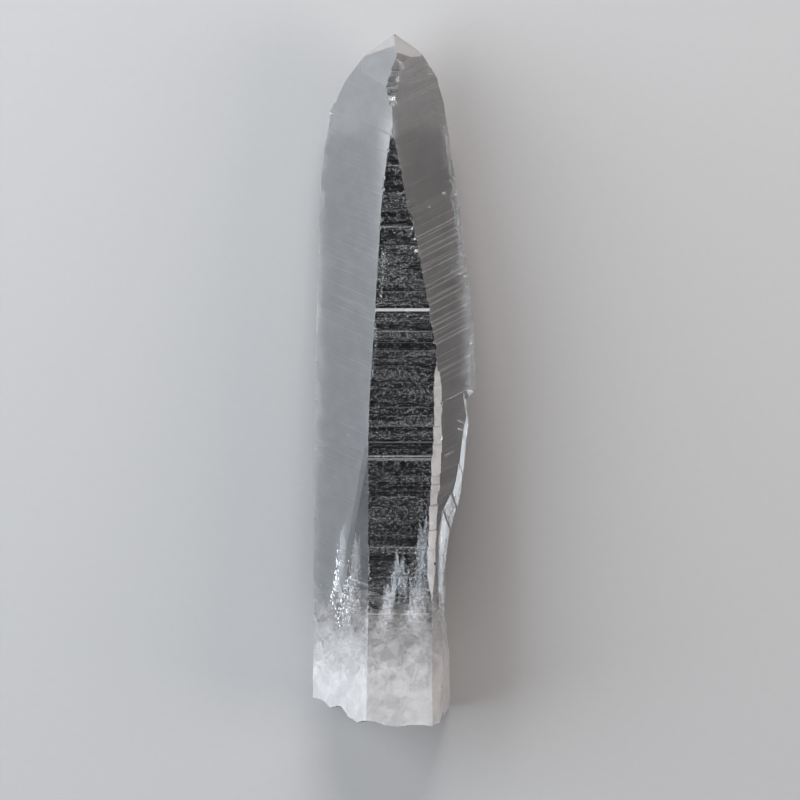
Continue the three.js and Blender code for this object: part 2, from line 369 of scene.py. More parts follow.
def cut_by(body: bpy.types.Mesh, cutters: bpy.types.Mesh, name: str) -> bpy.types.Mesh:
    """Cuts one mesh out of another.

    Args:
        body: the closed mesh that is cut.
        cutters: the closed shapes taken out of it.
        name: the name of the result.

    Returns:
        The cut mesh.
    """
    kept = placed(body, name + "_body")
    tool = placed(cutters, name + "_tool")
    boolean = kept.modifiers.new("cut", "BOOLEAN")
    boolean.object = tool
    boolean.operation = "DIFFERENCE"
    boolean.solver = "MANIFOLD"
    result = plain_mesh(kept, name)
    bpy.data.objects.remove(kept)
    bpy.data.objects.remove(tool)
    return result


def point_mesh(places: list[Vector], name: str) -> bpy.types.Mesh:
    """Makes a mesh of loose points."""
    points = bpy.data.meshes.new(name)
    points.from_pydata(places, [], [])
    return points


def gathered(faces: list[bmesh.types.BMFace]) -> list[Element]:
    """Gathers faces with their edges and corners.

    Args:
        faces: the faces.

    Returns:
        The corners, edges and faces in a fixed order.
    """
    edges = {edge for face in faces for edge in face.edges}
    corners = {corner for face in faces for corner in face.verts}
    return sorted([*corners, *edges, *faces], key=lambda item: (type(item).__name__, item.index))


def lumps(place: Vector, waves: Iterable[Pair]) -> float:
    """Adds up smooth noise of several finenesses.

    Args:
        place: where, in millimetres.
        waves: how many times finer than the place each layer is, and its weight.

    Returns:
        The sum, around 0.
    """
    return sum(weight * noise.noise(place * fineness) for fineness, weight in waves)


@dataclass(frozen=True)
class Lay:
    """Which way a face looks round the crystal's axis, how its ledges climb and how far it
    leans towards the point, in degrees."""

    looks: float
    climb: float
    lean: float = 0.0

    def directions(self) -> tuple[Vector, Vector, Vector]:
        """Works out the face's own directions.

        Returns:
            The directions out of the face, along its ledges and across them.
        """
        turn, rise, lean = (math.radians(angle) for angle in (self.looks, self.climb, self.lean))
        level = Vector((-math.sin(turn), 0.0, math.cos(turn)))
        flat = Vector((math.cos(turn), 0.0, math.sin(turn)))
        out = flat * math.cos(lean) + Vector((0.0, math.sin(lean), 0.0))
        axis = level.cross(out) * math.copysign(1.0, level.cross(out).y)
        along = level * math.cos(rise) + axis * math.sin(rise)
        across = axis * math.cos(rise) - level * math.sin(rise)
        return out, along, across


class Face(Enum):
    """The crystal's faces: those of the prism, those of the point and the broken end."""

    FRONT = Lay(90, 0)
    LEFT_FRONT = Lay(150, 9)
    LEFT_BACK = Lay(210, -6)
    BACK = Lay(270, 0.0)
    RIGHT_BACK = Lay(330, 7)
    RIGHT_BREAK = Lay(4, 16)
    RIGHT_EDGE = Lay(15, -8)
    RIGHT_FRONT = Lay(30, -11)
    FRONT_BEVEL = Lay(60, -4)
    LEFT_TIP = Lay(150, 0, 38.2)
    RIGHT_TIP = Lay(30, 0, 38.2)
    BACK_TIP = Lay(270, 0, 38.2)
    RIGHT_TOP = Lay(8, 0, 42)
    LEFT_CORNER = Lay(176, 0, 34)
    RIGHT_CORNER = Lay(12, 0, 24)
    LEFT_SHOULDER = Lay(144, 0, 21)
    RIGHT_SHOULDER = Lay(36, 0, 21)
    END = Lay(90, 0, -90)


PRISM = [face for face in Face if face.value.lean == 0]
POINT = [face for face in Face if face.value.lean > 0]


@dataclass(frozen=True)
class Glass:
    """How one kind of surface of the crystal passes and scatters light.

    Lines have a height in millimetres and a number per millimetre. The grain has a height and
    a size in millimetres, and pits a depth. Shade is how much darker the darkest spots are.
    """

    tint: Triple
    transmission: float
    roughness: Pair
    lines: Pair = (0.0, 1.0)
    grain: Pair = (0.0, 0.1)
    pits: float = 0.0
    shade: float = 0.0
    silver: float = 0.0


def frosted(share: float) -> Glass:
    """Makes a finish between clear and fully frosted glass.

    Args:
        share: how frosted it is, from 0 to 1.

    Returns:
        The finish.
    """

    def between(clear: float, full: float) -> float:
        """Returns the value at the share between two ends."""
        return clear + (full - clear) * share

    return Glass(
        tint=(0.975, 0.95, 0.95),
        transmission=between(0.97, 0.46),
        roughness=(between(0.12, 0.45), between(0.35, 0.7)),
        lines=(0.0, 2.5),
        grain=(between(0.004, 0.045), 0.4),
        shade=between(0.05, 0.2),
    )


class Finish(Enum):
    """The finishes of the crystal's surface, in the order of its material slots; several carry painted light
    and shade.
    """

    # Its grey tint is painted shade: it darkens the clear front window of colourless quartz.
    CLEAR = Glass((0.66, 0.685, 0.72), 0.994, (0.02, 0.12), (0.0035, 5.0), (0.0012, 0.25), 0.008, shade=0.1)
    # Dark grey tint: painted shade, dimming the riser lines of the front and back faces to the darkened
    # window's tone.
    LINE = Glass((0.30, 0.31, 0.33), 0.99, (0.28, 0.46), (0.003, 3.0), (0.003, 0.15), shade=0.15)
    BACK_LINE = Glass((0.30, 0.31, 0.33), 0.985, (0.45, 0.6), grain=(0.004, 0.15), shade=0.1)
    BREAK = Glass((0.94, 0.94, 0.94), 0.965, (0.12, 0.28), (0.005, 1.2), (0.006, 0.8))
    # Dark grey tint: painted shade on the clear broken face at the right.
    SIDE_BREAK = Glass((0.56, 0.55, 0.545), 0.95, (0.10, 0.25), (0.008, 1.4), (0.012, 0.8), shade=0.25)
    # Satin: partly a real frosted face, partly a painted sheen in its pale share; its cool tint is painted
    # light from the cool left lamp.
    SATIN = Glass((0.88, 0.90, 0.925), 0.85, (0.36, 0.5), (0.020, 2.6), (0.004, 0.12), shade=0.10)
    HALF_SATIN = Glass((0.90, 0.92, 0.94), 0.91, (0.28, 0.42), (0.014, 2.6), (0.004, 0.12), shade=0.10)
    # The streak's cool tint is painted light from the cool left lamp.
    STREAK = Glass((0.88, 0.91, 0.95), 0.965, (0.14, 0.26), (0.010, 2.6), (0.003, 0.12), shade=0.10)
    # Darker, warmer copy of the satin: painted shade and warm painted light on the right faces.
    DIM_SATIN = Glass((0.78, 0.735, 0.71), 0.92, (0.32, 0.46), (0.022, 4.2), (0.004, 0.12), shade=0.14)
    # Paler warm tint of the right faces' riser lines: painted glint, warmed like the right faces' painted
    # light.
    DIM_LINE = Glass((0.92, 0.87, 0.84), 0.885, (0.3, 0.42), grain=(0.004, 0.1), shade=0.1)
    # Pale share of the point's facets: partly frosted facets, partly a painted sheen.
    PALE = Glass((0.95, 0.91, 0.90), 0.74, (0.4, 0.55), (0.003, 2.0), (0.003, 0.15), shade=0.06)
    # White pale share of the front bevel: partly a frosted worn edge, partly a painted highlight.
    BEVEL = Glass((0.97, 0.97, 0.98), 0.60, (0.3, 0.45), (0.004, 2.0), (0.012, 0.3), shade=0.35)
    # White pale share on the risers of a few ledges: painted highlight where they glint.
    SCORE = Glass((0.97, 0.965, 0.96), 0.58, (0.25, 0.4), grain=(0.004, 0.1), shade=0.1)
    CHIP = Glass((0.96, 0.97, 0.98), 0.5, (0.12, 0.3), grain=(0.01, 0.15), shade=0.1)
    FROST_1 = frosted(0.16)
    FROST_2 = frosted(0.33)
    FROST_3 = frosted(0.5)
    FROST_4 = frosted(0.66)
    FROST_5 = frosted(0.83)
    FROST_6 = frosted(1.0)
    SPECK = Glass((0.97, 0.98, 1.0), 0.1, (0.3, 0.5), shade=0.2)
    VEIL = Glass((0.98, 0.985, 0.99), 0.0, (0.3, 0.5), shade=0.15, silver=1.0)


FROSTS = [finish for finish in Finish if finish.name.startswith("FROST")]


class Finishes:
    """Builds the materials, and the node groups that they share."""

    LINE_STRETCH = 0.11
    BROAD_LINES = (0.4, 0.16, 1.0)
    CLOUDS_PER_METRE = 420.0
    PITS_PER_METRE = 2600.0
    PIT_PATCHES_PER_METRE = 260.0
    PIT_RIM = (0.05, 0.22)
    LINE_WEIGHT = 0.6
    CLOUD_WEIGHT = 0.4

    def __init__(self) -> None:
        """Builds the shared groups and then one material for each finish."""
        self.line_group = self.growth_lines()
        self.grain_group = self.surface_grain()
        self.pit_group = self.pin_pits()
        self.materials = {finish: self.glass(finish) for finish in Finish}

    def growth_lines(self) -> bpy.types.NodeTree:
        """Builds the group of fine lines that run along a face's ledges.

        Returns:
            A group with the lines' mask and the mask of where they gather, from 0 to 1.
        """
        tree = node_group("growth_lines", {"Lines Per Mm": 2.5}, ("Mask", "Groups"))
        given = tree.add("NodeGroupInput").outputs
        place = tree.add("ShaderNodeUVMap", uv_map=LEDGE_MAP).outputs[0]
        parts = tree.add("ShaderNodeSeparateXYZ", {0: place}).outputs
        across = tree.math("MULTIPLY", parts[1], given["Lines Per Mm"])
        along = tree.math("MULTIPLY", parts[0], self.LINE_STRETCH)
        lay = tree.add("ShaderNodeCombineXYZ", {0: along, 1: across}).outputs[0]
        fine = tree.noise(lay, detail=4.0, roughness=0.62, dimensions="2D")
        broad = tree.noise(tree.scaled(lay, self.BROAD_LINES), dimensions="2D")
        masks = {"Mask": tree.spread(fine, 0.38, 0.62), "Groups": tree.spread(broad, 0.35, 0.65)}
        tree.add("NodeGroupOutput", masks)
        return tree.tree

    def surface_grain(self) -> bpy.types.NodeTree:
        """Builds the group of the uneven grain of etched and broken surfaces.

        Returns:
            A group with the grain's height and the mask of its clouds, from 0 to 1.
        """
        tree = node_group("surface_grain", {"Scale": 5000.0}, ("Height", "Cloud"))
        given = tree.add("NodeGroupInput").outputs
        place = tree.add("ShaderNodeTexCoord").outputs["Object"]
        fine = tree.noise(place, given[0], detail=3.0)
        cloud = tree.noise(place, self.CLOUDS_PER_METRE, detail=3.0, roughness=0.6)
        tree.add("NodeGroupOutput", {"Height": fine, "Cloud": tree.spread(cloud, 0.32, 0.68)})
        return tree.tree

    def pin_pits(self) -> bpy.types.NodeTree:
        """Builds the group of the tiny pits strewn over the clear face.

        Returns:
            A group with the pits' mask, from 0 to 1.
        """
        tree = node_group("pin_pits", {"Scale": self.PITS_PER_METRE}, ("Mask",))
        given = tree.add("NodeGroupInput").outputs
        place = tree.add("ShaderNodeTexCoord").outputs["Object"]
        cells = tree.add("ShaderNodeTexVoronoi", {"Vector": place, "Scale": given[0], "Randomness": 1.0})
        where = tree.noise(place, self.PIT_PATCHES_PER_METRE)
        pit = tree.spread(cells.outputs["Distance"], *self.PIT_RIM, 1.0, 0.0)
        tree.add("NodeGroupOutput", {"Mask": tree.math("MULTIPLY", pit, tree.spread(where, 0.4, 0.6))})
        return tree.tree

    def glass(self, finish: Finish) -> bpy.types.Material:
        """Builds the material of one finish.

        Args:
            finish: which of the finishes.

        Returns:
            The material, with plain transmission and IOR and with its roughness, colour and
            normal varied over the surface.
        """
        look = finish.value
        line_height, lines_per_mm = look.lines
        grain_height, grain_size = look.grain
        material = bpy.data.materials.new("quartz_" + finish.name.lower())
        material.use_nodes = True
        tree = Tree(material.node_tree)
        shader = material.node_tree.nodes["Principled BSDF"].inputs
        shader["IOR"].default_value = QUARTZ_IOR
        shader["Transmission Weight"].default_value = look.transmission
        shader["Metallic"].default_value = look.silver
        lines = tree.add("ShaderNodeGroup", {0: lines_per_mm}, node_tree=self.line_group)
        grain = tree.add("ShaderNodeGroup", {0: 1.0 / (grain_size * MM)}, node_tree=self.grain_group)
        pits = tree.add("ShaderNodeGroup", node_tree=self.pit_group)
        cloud = grain.outputs["Cloud"]
        streaks = tree.math("MULTIPLY", lines.outputs["Mask"], lines.outputs["Groups"])
        weighed = tree.math("MULTIPLY", streaks, self.LINE_WEIGHT)
        uneven = tree.math("ADD", weighed, tree.math("MULTIPLY", cloud, self.CLOUD_WEIGHT))
        tree.join(tree.spread(uneven, 0.0, 1.0, *look.roughness), shader["Roughness"])
        dark = tuple(part * (1.0 - look.shade) for part in look.tint)
        tree.join(tree.blended(cloud, dark, look.tint), shader["Base Color"])
        ridges = tree.math("MULTIPLY", streaks, line_height * MM)
        bumps = tree.math("MULTIPLY", grain.outputs["Height"], grain_height * MM)
        holes = tree.math("MULTIPLY", pits.outputs["Mask"], -look.pits * MM)
        height = tree.math("ADD", tree.math("ADD", ridges, bumps), holes)
        bump = tree.add("ShaderNodeBump", {"Height": height, "Distance": 1.0, "Strength": 1.0})
        tree.join(bump.outputs[0], shader["Normal"])
        return material


@dataclass(frozen=True)
class Scores:
    """A stretch of fine grooves along one face's ledges: heights and sizes in millimetres."""

    face: Face
    start: float
    end: float
    spacing: float
    width: float
    depth: float
    reach: float = 26.0


@dataclass
class Crystal:
    """The crystal itself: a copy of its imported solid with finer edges, lines and finishes.

    Lengths are in millimetres, heights are along the crystal's axis and angles in degrees.
    """

    finishes: Finishes
    chip_spacing: float = 0.8
    chip_clearance: float = 0.64
    chip_size: Pair = (0.08, 0.185)
    chip_shift: float = 0.45
    chip_least: Triple = (0.6, 0.8, 0.6)
    chip_most: Triple = (1.1, 1.7, 1.1)
    chip_seed: int = 11
    stretch_seed: int = 5
    end_height: float = -43.5
    end_slope: float = -0.4
    point_height: float = 41.0
    point_match: float = 0.992
    break_height: float = -1.7
    riser_tilt: float = 12.0
    riser_span: float = 0.5
    chip_turn: float = 0.22
    chip_area: float = 0.06
    strip_area: float = 0.4
    strip_match: float = 0.985
    frost_height: float = -29.3
    frost_fade: float = 13.5
    frost_ragged: float = 2.3
    frost_waves: tuple[Pair, ...] = ((0.45, 1.0), (1.7, 0.6), (4.1, 0.5))
    hackle_top: float = -29.0
    hackle_step: float = 0.45
    hackle_gaps: Pair = (0.5, 1.5)
    hackle_tilt: float = 0.85
    hackle_seed: int = 17
    hackle_span: tuple[Pair, ...] = ((-11.4, 11.4), (-48.4, -29.0), (0.2, 17.9))
    hackle_middle: float = 9.0
    hackle_fade: float = 12.0
    hackle_depth: float = 0.12
    hackle_waves: tuple[Pair, ...] = ((0.6, 1.0), (1.9, 0.6))
    hackle_slide: float = 1.3
    hackle_share: float = 0.6
    hackle_dither: float = 0.65
    streak_top: Triple = (-3.68, -8.8, 17.0)
    streak_side: Triple = (0.985, -0.170, 0.0)
    streak_steps: Pair = (-0.3, 0.35)
    quiet_height: float = 23.6
    rest_clearance: float = 0.3
    # Heights and reaches of the ledges whose risers get the painted highlight.
    bright_ledges: tuple[Pair, ...] = ((10.4, 0.3), (-10.4, 0.42))
    score_gaps: Pair = (0.4, 1.2)
    score_seed: int = 100
    wedge_sizes: Pair = (0.6, 1.25)
    wedge_depth: float = 2.0
    wedge_width: float = 1.73
    scores: tuple[Scores, ...] = (
        Scores(Face.FRONT, -33.0, 33.0, 0.8, 0.03, 0.006, 13.0),
        Scores(Face.FRONT, -10.75, -10.05, 0.17, 0.05, 0.018, 11.0),
        Scores(Face.LEFT_FRONT, -22.0, 28.0, 1.3, 0.05, 0.010),
        Scores(Face.RIGHT_FRONT, -2.0, 8.0, 0.45, 0.045, 0.012),
        Scores(Face.RIGHT_FRONT, 8.0, 15.0, 0.3, 0.045, 0.014),
        Scores(Face.RIGHT_FRONT, 16.0, 20.0, 0.4, 0.05, 0.015),
    )

    def build(self, node: bpy.types.Object) -> bpy.types.Object:
        """Builds the visible crystal.

        Args:
            node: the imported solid.

        Returns:
            The crystal, in metres, riding on the body of the solid that it replaces.
        """
        mesh = node.data.copy()
        mesh.transform(Matrix.Scale(1.0 / MM, 4))
        work = bmesh.new()
        work.from_mesh(mesh)
        bmesh.ops.remove_doubles(work, verts=work.verts, dist=MERGE_GAP)
        work.to_mesh(mesh)
        work.free()
        mesh = self.chipped(mesh)
        for number, scores in enumerate(self.scores):
            mesh = self.scored(mesh, scores, number)
        self.part(mesh)
        self.roughen(mesh)
        self.dress(mesh)
        mesh.name = "crystal"
        mesh.transform(Matrix.Scale(MM, 4))
        crystal = shown(mesh, "crystal")
        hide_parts(CAD_NODE)
        return crystal

    def kind(self, normal: Vector, centre: Vector) -> Face:
        """Says which face of the crystal a polygon belongs to.

        Args:
            normal: the polygon's direction.
            centre: its middle, in millimetres.

        Returns:
            The face of the crystal.
        """
        if centre.y < self.end_height and normal.y < self.end_slope:
            return Face.END
        if centre.y > self.point_height:
            nearest = max(POINT, key=lambda face: normal.dot(face.value.directions()[0]))
            if normal.dot(nearest.value.directions()[0]) > self.point_match:
                return nearest
        turn = math.degrees(math.atan2(normal.z, normal.x))
        missing = Face.RIGHT_EDGE if centre.y < self.break_height else Face.RIGHT_BREAK

        def away(face: Face) -> float:
            """Returns the angle round the axis between the polygon and a face."""
            return abs((turn - face.value.looks + 180.0) % 360.0 - 180.0)

        return min((face for face in PRISM if face is not missing), key=away)

    def chipped(self, mesh: bpy.types.Mesh) -> bpy.types.Mesh:
        """Breaks small chips out of the edges between the faces.

        Args:
            mesh: the crystal so far.

        Returns:
            The crystal with the chips.
        """
        kinds = [self.kind(polygon.normal, polygon.center) for polygon in mesh.polygons]
        sides: dict[tuple[int, int], set[Face]] = {}
        for polygon, kind in zip(mesh.polygons, kinds):
            for pair in polygon.edge_keys:
                sides.setdefault(pair, set()).add(kind)
        dice = random.Random(self.chip_seed)
        places: list[Vector] = []
        ways: list[Vector] = []
        for pair in sorted(sides):
            if len(sides[pair]) < 2 or sides[pair] & {Face.END, Face.BACK_TIP}:
                continue
            first, second = (mesh.vertices[index] for index in pair)
            length = (second.co - first.co).length
            if dice.random() > length / self.chip_spacing:
                continue
            place = first.co.lerp(second.co, dice.random())
            if all((place - other).length > self.chip_clearance for other in places):
                places.append(place)
                ways.append((first.normal + second.normal).normalized())
        points = point_mesh(places, "chip_points")
        outward = points.attributes.new(OUTWARD, "FLOAT_VECTOR", "POINT")
        for vertex, way in zip(points.vertices, ways):
            outward.data[vertex.index].vector = way
        return cut_by(mesh, self.chip_cutters().made_from(points, "chip_cutters"), "chipped")

    def chip_cutters(self) -> Shape:
        """Builds the tree that sets a small rough cutter at each point of the edges.

        Returns:
            The tree, with the least and greatest size of a cutter and a seed as its inputs.
        """
        least, most = self.chip_size
        shape = Shape("chip_cutters", {"Least": least, "Most": most, "Seed": self.chip_seed})
        tree, given = shape.tree, shape.given
        points = shape.points()
        size = tree.random(given["Least"], given["Most"], given["Seed"])
        out = tree.attribute(OUTWARD, "FLOAT_VECTOR")
        moved = tree.moved(points, tree.sized(out, tree.math("MULTIPLY", size, self.chip_shift)))
        ball = tree.add("GeometryNodeMeshIcoSphere", {"Radius": 1.0, "Subdivisions": 1}).outputs[0]
        turn = tree.random(NO_TURN, ANY_TURN, TURN_SEED, vector=True)
        stretch = tree.random(self.chip_least, self.chip_most, self.stretch_seed, vector=True)
        shape.strew(moved, ball, turn, tree.sized(stretch, size), self.finishes.materials[Finish.CHIP])
        return shape

    def scored(self, mesh: bpy.types.Mesh, scores: Scores, number: int) -> bpy.types.Mesh:
        """Cuts one stretch of fine grooves along a face's ledges.

        Args:
            mesh: the crystal so far.
            scores: where the grooves are and their size.
            number: the stretch's own number, which also seeds it.

        Returns:
            The crystal with the grooves.
        """
        out, along, across = scores.face.value.directions()
        course: dict[float, float] = {}
        middles: list[Vector] = []
        for polygon in mesh.polygons:
            if polygon.area < self.strip_area or polygon.normal.dot(out) < self.strip_match:
                continue
            if self.kind(polygon.normal, polygon.center) is not scores.face:
                continue
            middles.append(polygon.center.copy())
            for index in polygon.vertices:
                place = mesh.vertices[index].co
                course[round(place.dot(across), 4)] = place.dot(out)
        steps = sorted(course)
        level = np.array([course[step] for step in steps])
        middle = sum(middles, Vector()) / len(middles)
        dice = random.Random(self.score_seed + number)
        least, more = self.score_gaps
        height = scores.start
        places = []
        while height < scores.end:
            step = Vector((middle.x, height, middle.z)).dot(across)
            depth = float(np.interp(step, steps, level))
            places.append(across * step + out * (depth + scores.depth) + along * middle.dot(along))
            height += scores.spacing * (least + more * dice.random())
        points = point_mesh(places, "score_points")
        cutters = self.score_cutters(scores, number).made_from(points, "score_cutters")
        return cut_by(mesh, cutters, "scored")

    def score_cutters(self, scores: Scores, number: int) -> Shape:
        """Builds the tree that lays a thin wedge along the face at each point.

        Args:
            scores: where the grooves are and their size.
            number: the stretch's own number, which also seeds it.

        Returns:
            The tree, with the wedges' sizes, their turn and a seed as its inputs.
        """
        out, along, _ = scores.face.value.directions()
        turn = Matrix((-out, along.cross(-out), along)).transposed().to_euler()
        sizes = {"Depth": scores.depth, "Width": scores.width, "Length": scores.reach}
        shape = Shape(f"score_cutters_{number}", {**sizes, "Turn": tuple(turn), "Seed": number})
        tree, given = shape.tree, shape.given
        prism = {"Vertices": 3, "Radius Top": 1.0, "Radius Bottom": 1.0, "Depth": 1.0}
        wedge = tree.add("GeometryNodeMeshCone", prism, fill_type="TRIANGLE_FAN").outputs[0]
        centred = {"Geometry": wedge, "Translation": (0.0, 0.0, -0.5)}
        middle = tree.add("GeometryNodeTransform", centred).outputs[0]
        vary = tree.random(*self.wedge_sizes, given["Seed"])
        deep = tree.math("MULTIPLY", given["Depth"], self.wedge_depth)
        wide = tree.math("MULTIPLY", tree.math("MULTIPLY", given["Width"], vary), self.wedge_width)
        scale = tree.add("ShaderNodeCombineXYZ", {0: deep, 1: wide, 2: given["Length"]}).outputs[0]
        shape.strew(shape.points(), middle, given["Turn"], scale, self.finishes.materials[Finish.SCORE])
        return shape

    def part(self, mesh: bpy.types.Mesh) -> None:
        """Cuts the left front face along the blurred side of its clear streak.

        Args:
            mesh: the crystal, which is changed.
        """
        work = bmesh.new()
        work.from_mesh(mesh)
        side = Vector(self.streak_side)
        for step in self.streak_steps:
            faces = [f for f in work.faces if self.kind(f.normal, f.calc_center_median()) is Face.LEFT_FRONT]
            place = Vector(self.streak_top) + side * step
            bmesh.ops.bisect_plane(work, geom=gathered(faces), dist=CUT_GAP, plane_co=place, plane_no=side)
            for parts in (work.verts, work.edges, work.faces):
                parts.index_update()
        work.to_mesh(mesh)
        work.free()

    def roughen(self, mesh: bpy.types.Mesh) -> None:
        """Cuts the frosted end into small uneven faces and gives it a hackly surface.

        Args:
            mesh: the crystal, which is changed.
        """
        work = bmesh.new()
        work.from_mesh(mesh)
        self.split(work)
        work.normal_update()
        noise.seed_set(self.hackle_seed)
        for vertex in work.verts:
            self.sink(vertex)
        work.to_mesh(mesh)
        work.free()

    def split(self, work: bmesh.types.BMesh) -> None:
        """Cuts the end below the frost line by tilted planes, set at uneven steps on each axis.

        Args:
            work: the crystal, which is changed.
        """
        whole = [*work.verts, *work.edges, *work.faces]
        top = Vector((0.0, self.hackle_top, 0.0))
        bmesh.ops.bisect_plane(work, geom=whole, dist=CUT_GAP, plane_co=top, plane_no=(0.0, 1.0, 0.0))
        cut = gathered([face for face in work.faces if face.calc_center_median().y < self.hackle_top])
        dice = random.Random(self.hackle_seed)
        for axis, (low, high) in enumerate(self.hackle_span):
            offset = low
            while offset < high:
                across = Vector([dice.uniform(-self.hackle_tilt, self.hackle_tilt) for _ in range(3)])
                across[axis] = 1.0
                place = Vector((0.0, 0.5 * (self.hackle_span[1][0] + self.hackle_top), self.hackle_middle))
                place[axis] = offset
                result = bmesh.ops.bisect_plane(work, geom=cut, dist=CUT_GAP, plane_co=place, plane_no=across)
                cut = result["geom"]
                offset += self.hackle_step * dice.uniform(*self.hackle_gaps)

    def sink(self, vertex: bmesh.types.BMVert) -> None:
        """Moves one corner of the frosted end inwards and sideways, more so further down.

        Args:
            vertex: the corner, which is moved.
        """
        place = vertex.co
        share = min(max((self.hackle_top - place.y) / self.hackle_fade, 0.0), 1.0)
        if place.z < self.rest_clearance or share == 0.0:
            return
        uneven = self.hackle_share + self.hackle_share * lumps(place, self.hackle_waves)
        sink = self.hackle_depth * share * uneven
        slide = noise.noise_vector(place * self.hackle_slide) * self.hackle_depth * share
        slide -= vertex.normal * slide.dot(vertex.normal)
        vertex.co = place + slide - vertex.normal * max(sink, 0.0)

    def finish_of(self, face: Face, polygon: bpy.types.MeshPolygon, span: float, toss: float) -> Finish:
        """Picks the finish of one polygon.

        Args:
            face: the crystal's face that it belongs to.
            polygon: the polygon, in millimetres.
            span: how far it reaches across the ledges, in millimetres.
            toss: the polygon's own random share, from -1 to 1.

        Returns:
            The finish.
        """
        centre = polygon.center
        own = self.own_finish(face, polygon.normal, centre, span, polygon.area)
        ragged = self.frost_ragged * lumps(centre, self.frost_waves)
        share = (self.frost_height + ragged - centre.y) / self.frost_fade
        share += toss * self.hackle_dither / len(FROSTS) if share > 0.0 else 0.0
        if face is Face.END or share >= 1.0:
            return Finish.FROST_6
        if share <= 0.0:
            return own
        frost = FROSTS[min(int(share * len(FROSTS)), len(FROSTS) - 1)]
        return frost if frost.value.transmission < own.value.transmission else own

    def own_finish(self, face: Face, normal: Vector, centre: Vector, span: float, area: float) -> Finish:
        """Picks the finish that a polygon would have without the frost of the broken end.

        Args:
            face: the crystal's face that it belongs to.
            normal: the polygon's direction.
            centre: its middle, in millimetres.
            span: how far it reaches across the ledges, in millimetres.
            area: its area, in square millimetres.

        Returns:
            The finish.
        """
        if face in (Face.LEFT_TIP, Face.RIGHT_TIP, Face.BACK_TIP, Face.RIGHT_TOP):
            return Finish.PALE
        out, along, across = face.value.directions()
        if abs(normal.dot(along)) > self.chip_turn and area < self.chip_area:
            return Finish.CHIP
        tilt = math.degrees(math.atan2(abs(normal.dot(across)), normal.dot(out)))
        riser = tilt > self.riser_tilt and span < self.riser_span
        if face is Face.FRONT:
            # Risers near those heights get the painted highlight, the others the darkened line.
            bright = any(abs(centre.y - height) < reach for height, reach in self.bright_ledges)
            return (Finish.SCORE if bright else Finish.LINE) if riser else Finish.CLEAR
        if face is Face.FRONT_BEVEL:
            return Finish.BEVEL
        if face in (Face.LEFT_FRONT, Face.LEFT_SHOULDER, Face.LEFT_CORNER):
            return self.left_finish(centre)
        if face is Face.RIGHT_BREAK:
            return Finish.SIDE_BREAK
        if face in (Face.BACK, Face.LEFT_BACK, Face.RIGHT_BACK):
            return Finish.BACK_LINE if riser else Finish.BREAK
        # The right faces get the darker, warmer satin copy (painted shade) and, on their risers, paler lines
        # (painted glint).
        return Finish.DIM_LINE if riser and centre.y < self.quiet_height else Finish.DIM_SATIN

    def left_finish(self, centre: Vector) -> Finish:
        """Picks between the satin of the left front face, with its painted sheen and cool painted light, and
        its clear streak.

        Args:
            centre: the polygon's middle, in millimetres.

        Returns:
            The finish.
        """
        past = (centre - Vector(self.streak_top)).dot(Vector(self.streak_side))
        blurred, clear = self.streak_steps
        if past < blurred or centre.y > self.streak_top[1]:
            return Finish.SATIN
        return Finish.STREAK if past > clear else Finish.HALF_SATIN

    def dress(self, mesh: bpy.types.Mesh) -> None:
        """Gives every polygon its finish and its place on the ledge map.

        Args:
            mesh: the crystal, which is changed.
        """
        mesh.materials.clear()
        order = {finish: slot for slot, finish in enumerate(Finish)}
        for finish in Finish:
            mesh.materials.append(self.finishes.materials[finish])
        ledges = mesh.uv_layers.new(name=LEDGE_MAP)
        window = mesh.attributes.new(FRONT_SHARE, "FLOAT", "FACE")
        dice = random.Random(self.hackle_seed)
        for polygon in mesh.polygons:
            face = self.kind(polygon.normal, polygon.center)
            _, along, across = face.value.directions()
            steps = [mesh.vertices[index].co.dot(across) for index in polygon.vertices]
            finish = self.finish_of(face, polygon, max(steps) - min(steps), dice.uniform(-1.0, 1.0))
            polygon.material_index = order[finish]
            polygon.use_smooth = False
            window.data[polygon.index].value = float(finish is Finish.CLEAR and face is Face.FRONT)
            shift = MAP_SHIFT * list(Face).index(face)
            for loop in polygon.loop_indices:
                place = mesh.vertices[mesh.loops[loop].vertex_index].co
                ledges.data[loop].uv = (place.dot(along) + shift, place.dot(across))


@dataclass
class Specks:
    """Tiny white specks on the clear front face: their number per square millimetre, their
    sizes in millimetres, and how the patches that they gather in are stretched."""

    finishes: Finishes
    density: float = 60.0
    size: Pair = (0.02, 0.068)
    patches: Triple = (300.0, 900.0, 300.0)
    bare_share: float = 0.05
    seed: int = 21

    def build(self, crystal: bpy.types.Object) -> bpy.types.Object:
        """Strews the specks over the clear face of the crystal.

        Args:
            crystal: the finished crystal.

        Returns:
            The specks as one piece.
        """
        least, most = self.size
        sizes = {"Least": least * MM, "Most": most * MM}
        shape = Shape("specks", {"Density": self.density / MM**2, **sizes, "Seed": self.seed})
        tree, given = shape.tree, shape.given
        share = tree.attribute(FRONT_SHARE, "FLOAT")
        place = tree.add("GeometryNodeInputPosition").outputs[0]
        cloud = tree.noise(tree.scaled(place, self.patches))
        patches = tree.spread(cloud, 0.42, 0.66, self.bare_share)
        dense = tree.math("MULTIPLY", tree.math("MULTIPLY", share, patches), given["Density"])
        wanted = {"Mesh": given["Geometry"], "Density": dense, "Seed": given["Seed"]}
        strewn = tree.add("GeometryNodeDistributePointsOnFaces", wanted, distribute_method="RANDOM")
        points = strewn.outputs[0]
        size = tree.random(given["Least"], given["Most"], given["Seed"])
        turn = tree.random(NO_TURN, ANY_TURN, TURN_SEED, vector=True)
        shape.strew(points, tree.spike(), turn, size, self.finishes.materials[Finish.SPECK])
        return shown(shape.made_from(crystal.data, "surface_specks"), "surface_specks")


@dataclass(frozen=True)
class Wisp:
    """One pale streak inside the crystal: its path and sizes in millimetres."""

    path: tuple[Triple, ...]
    spread: Triple
    flakes: int
    size: float


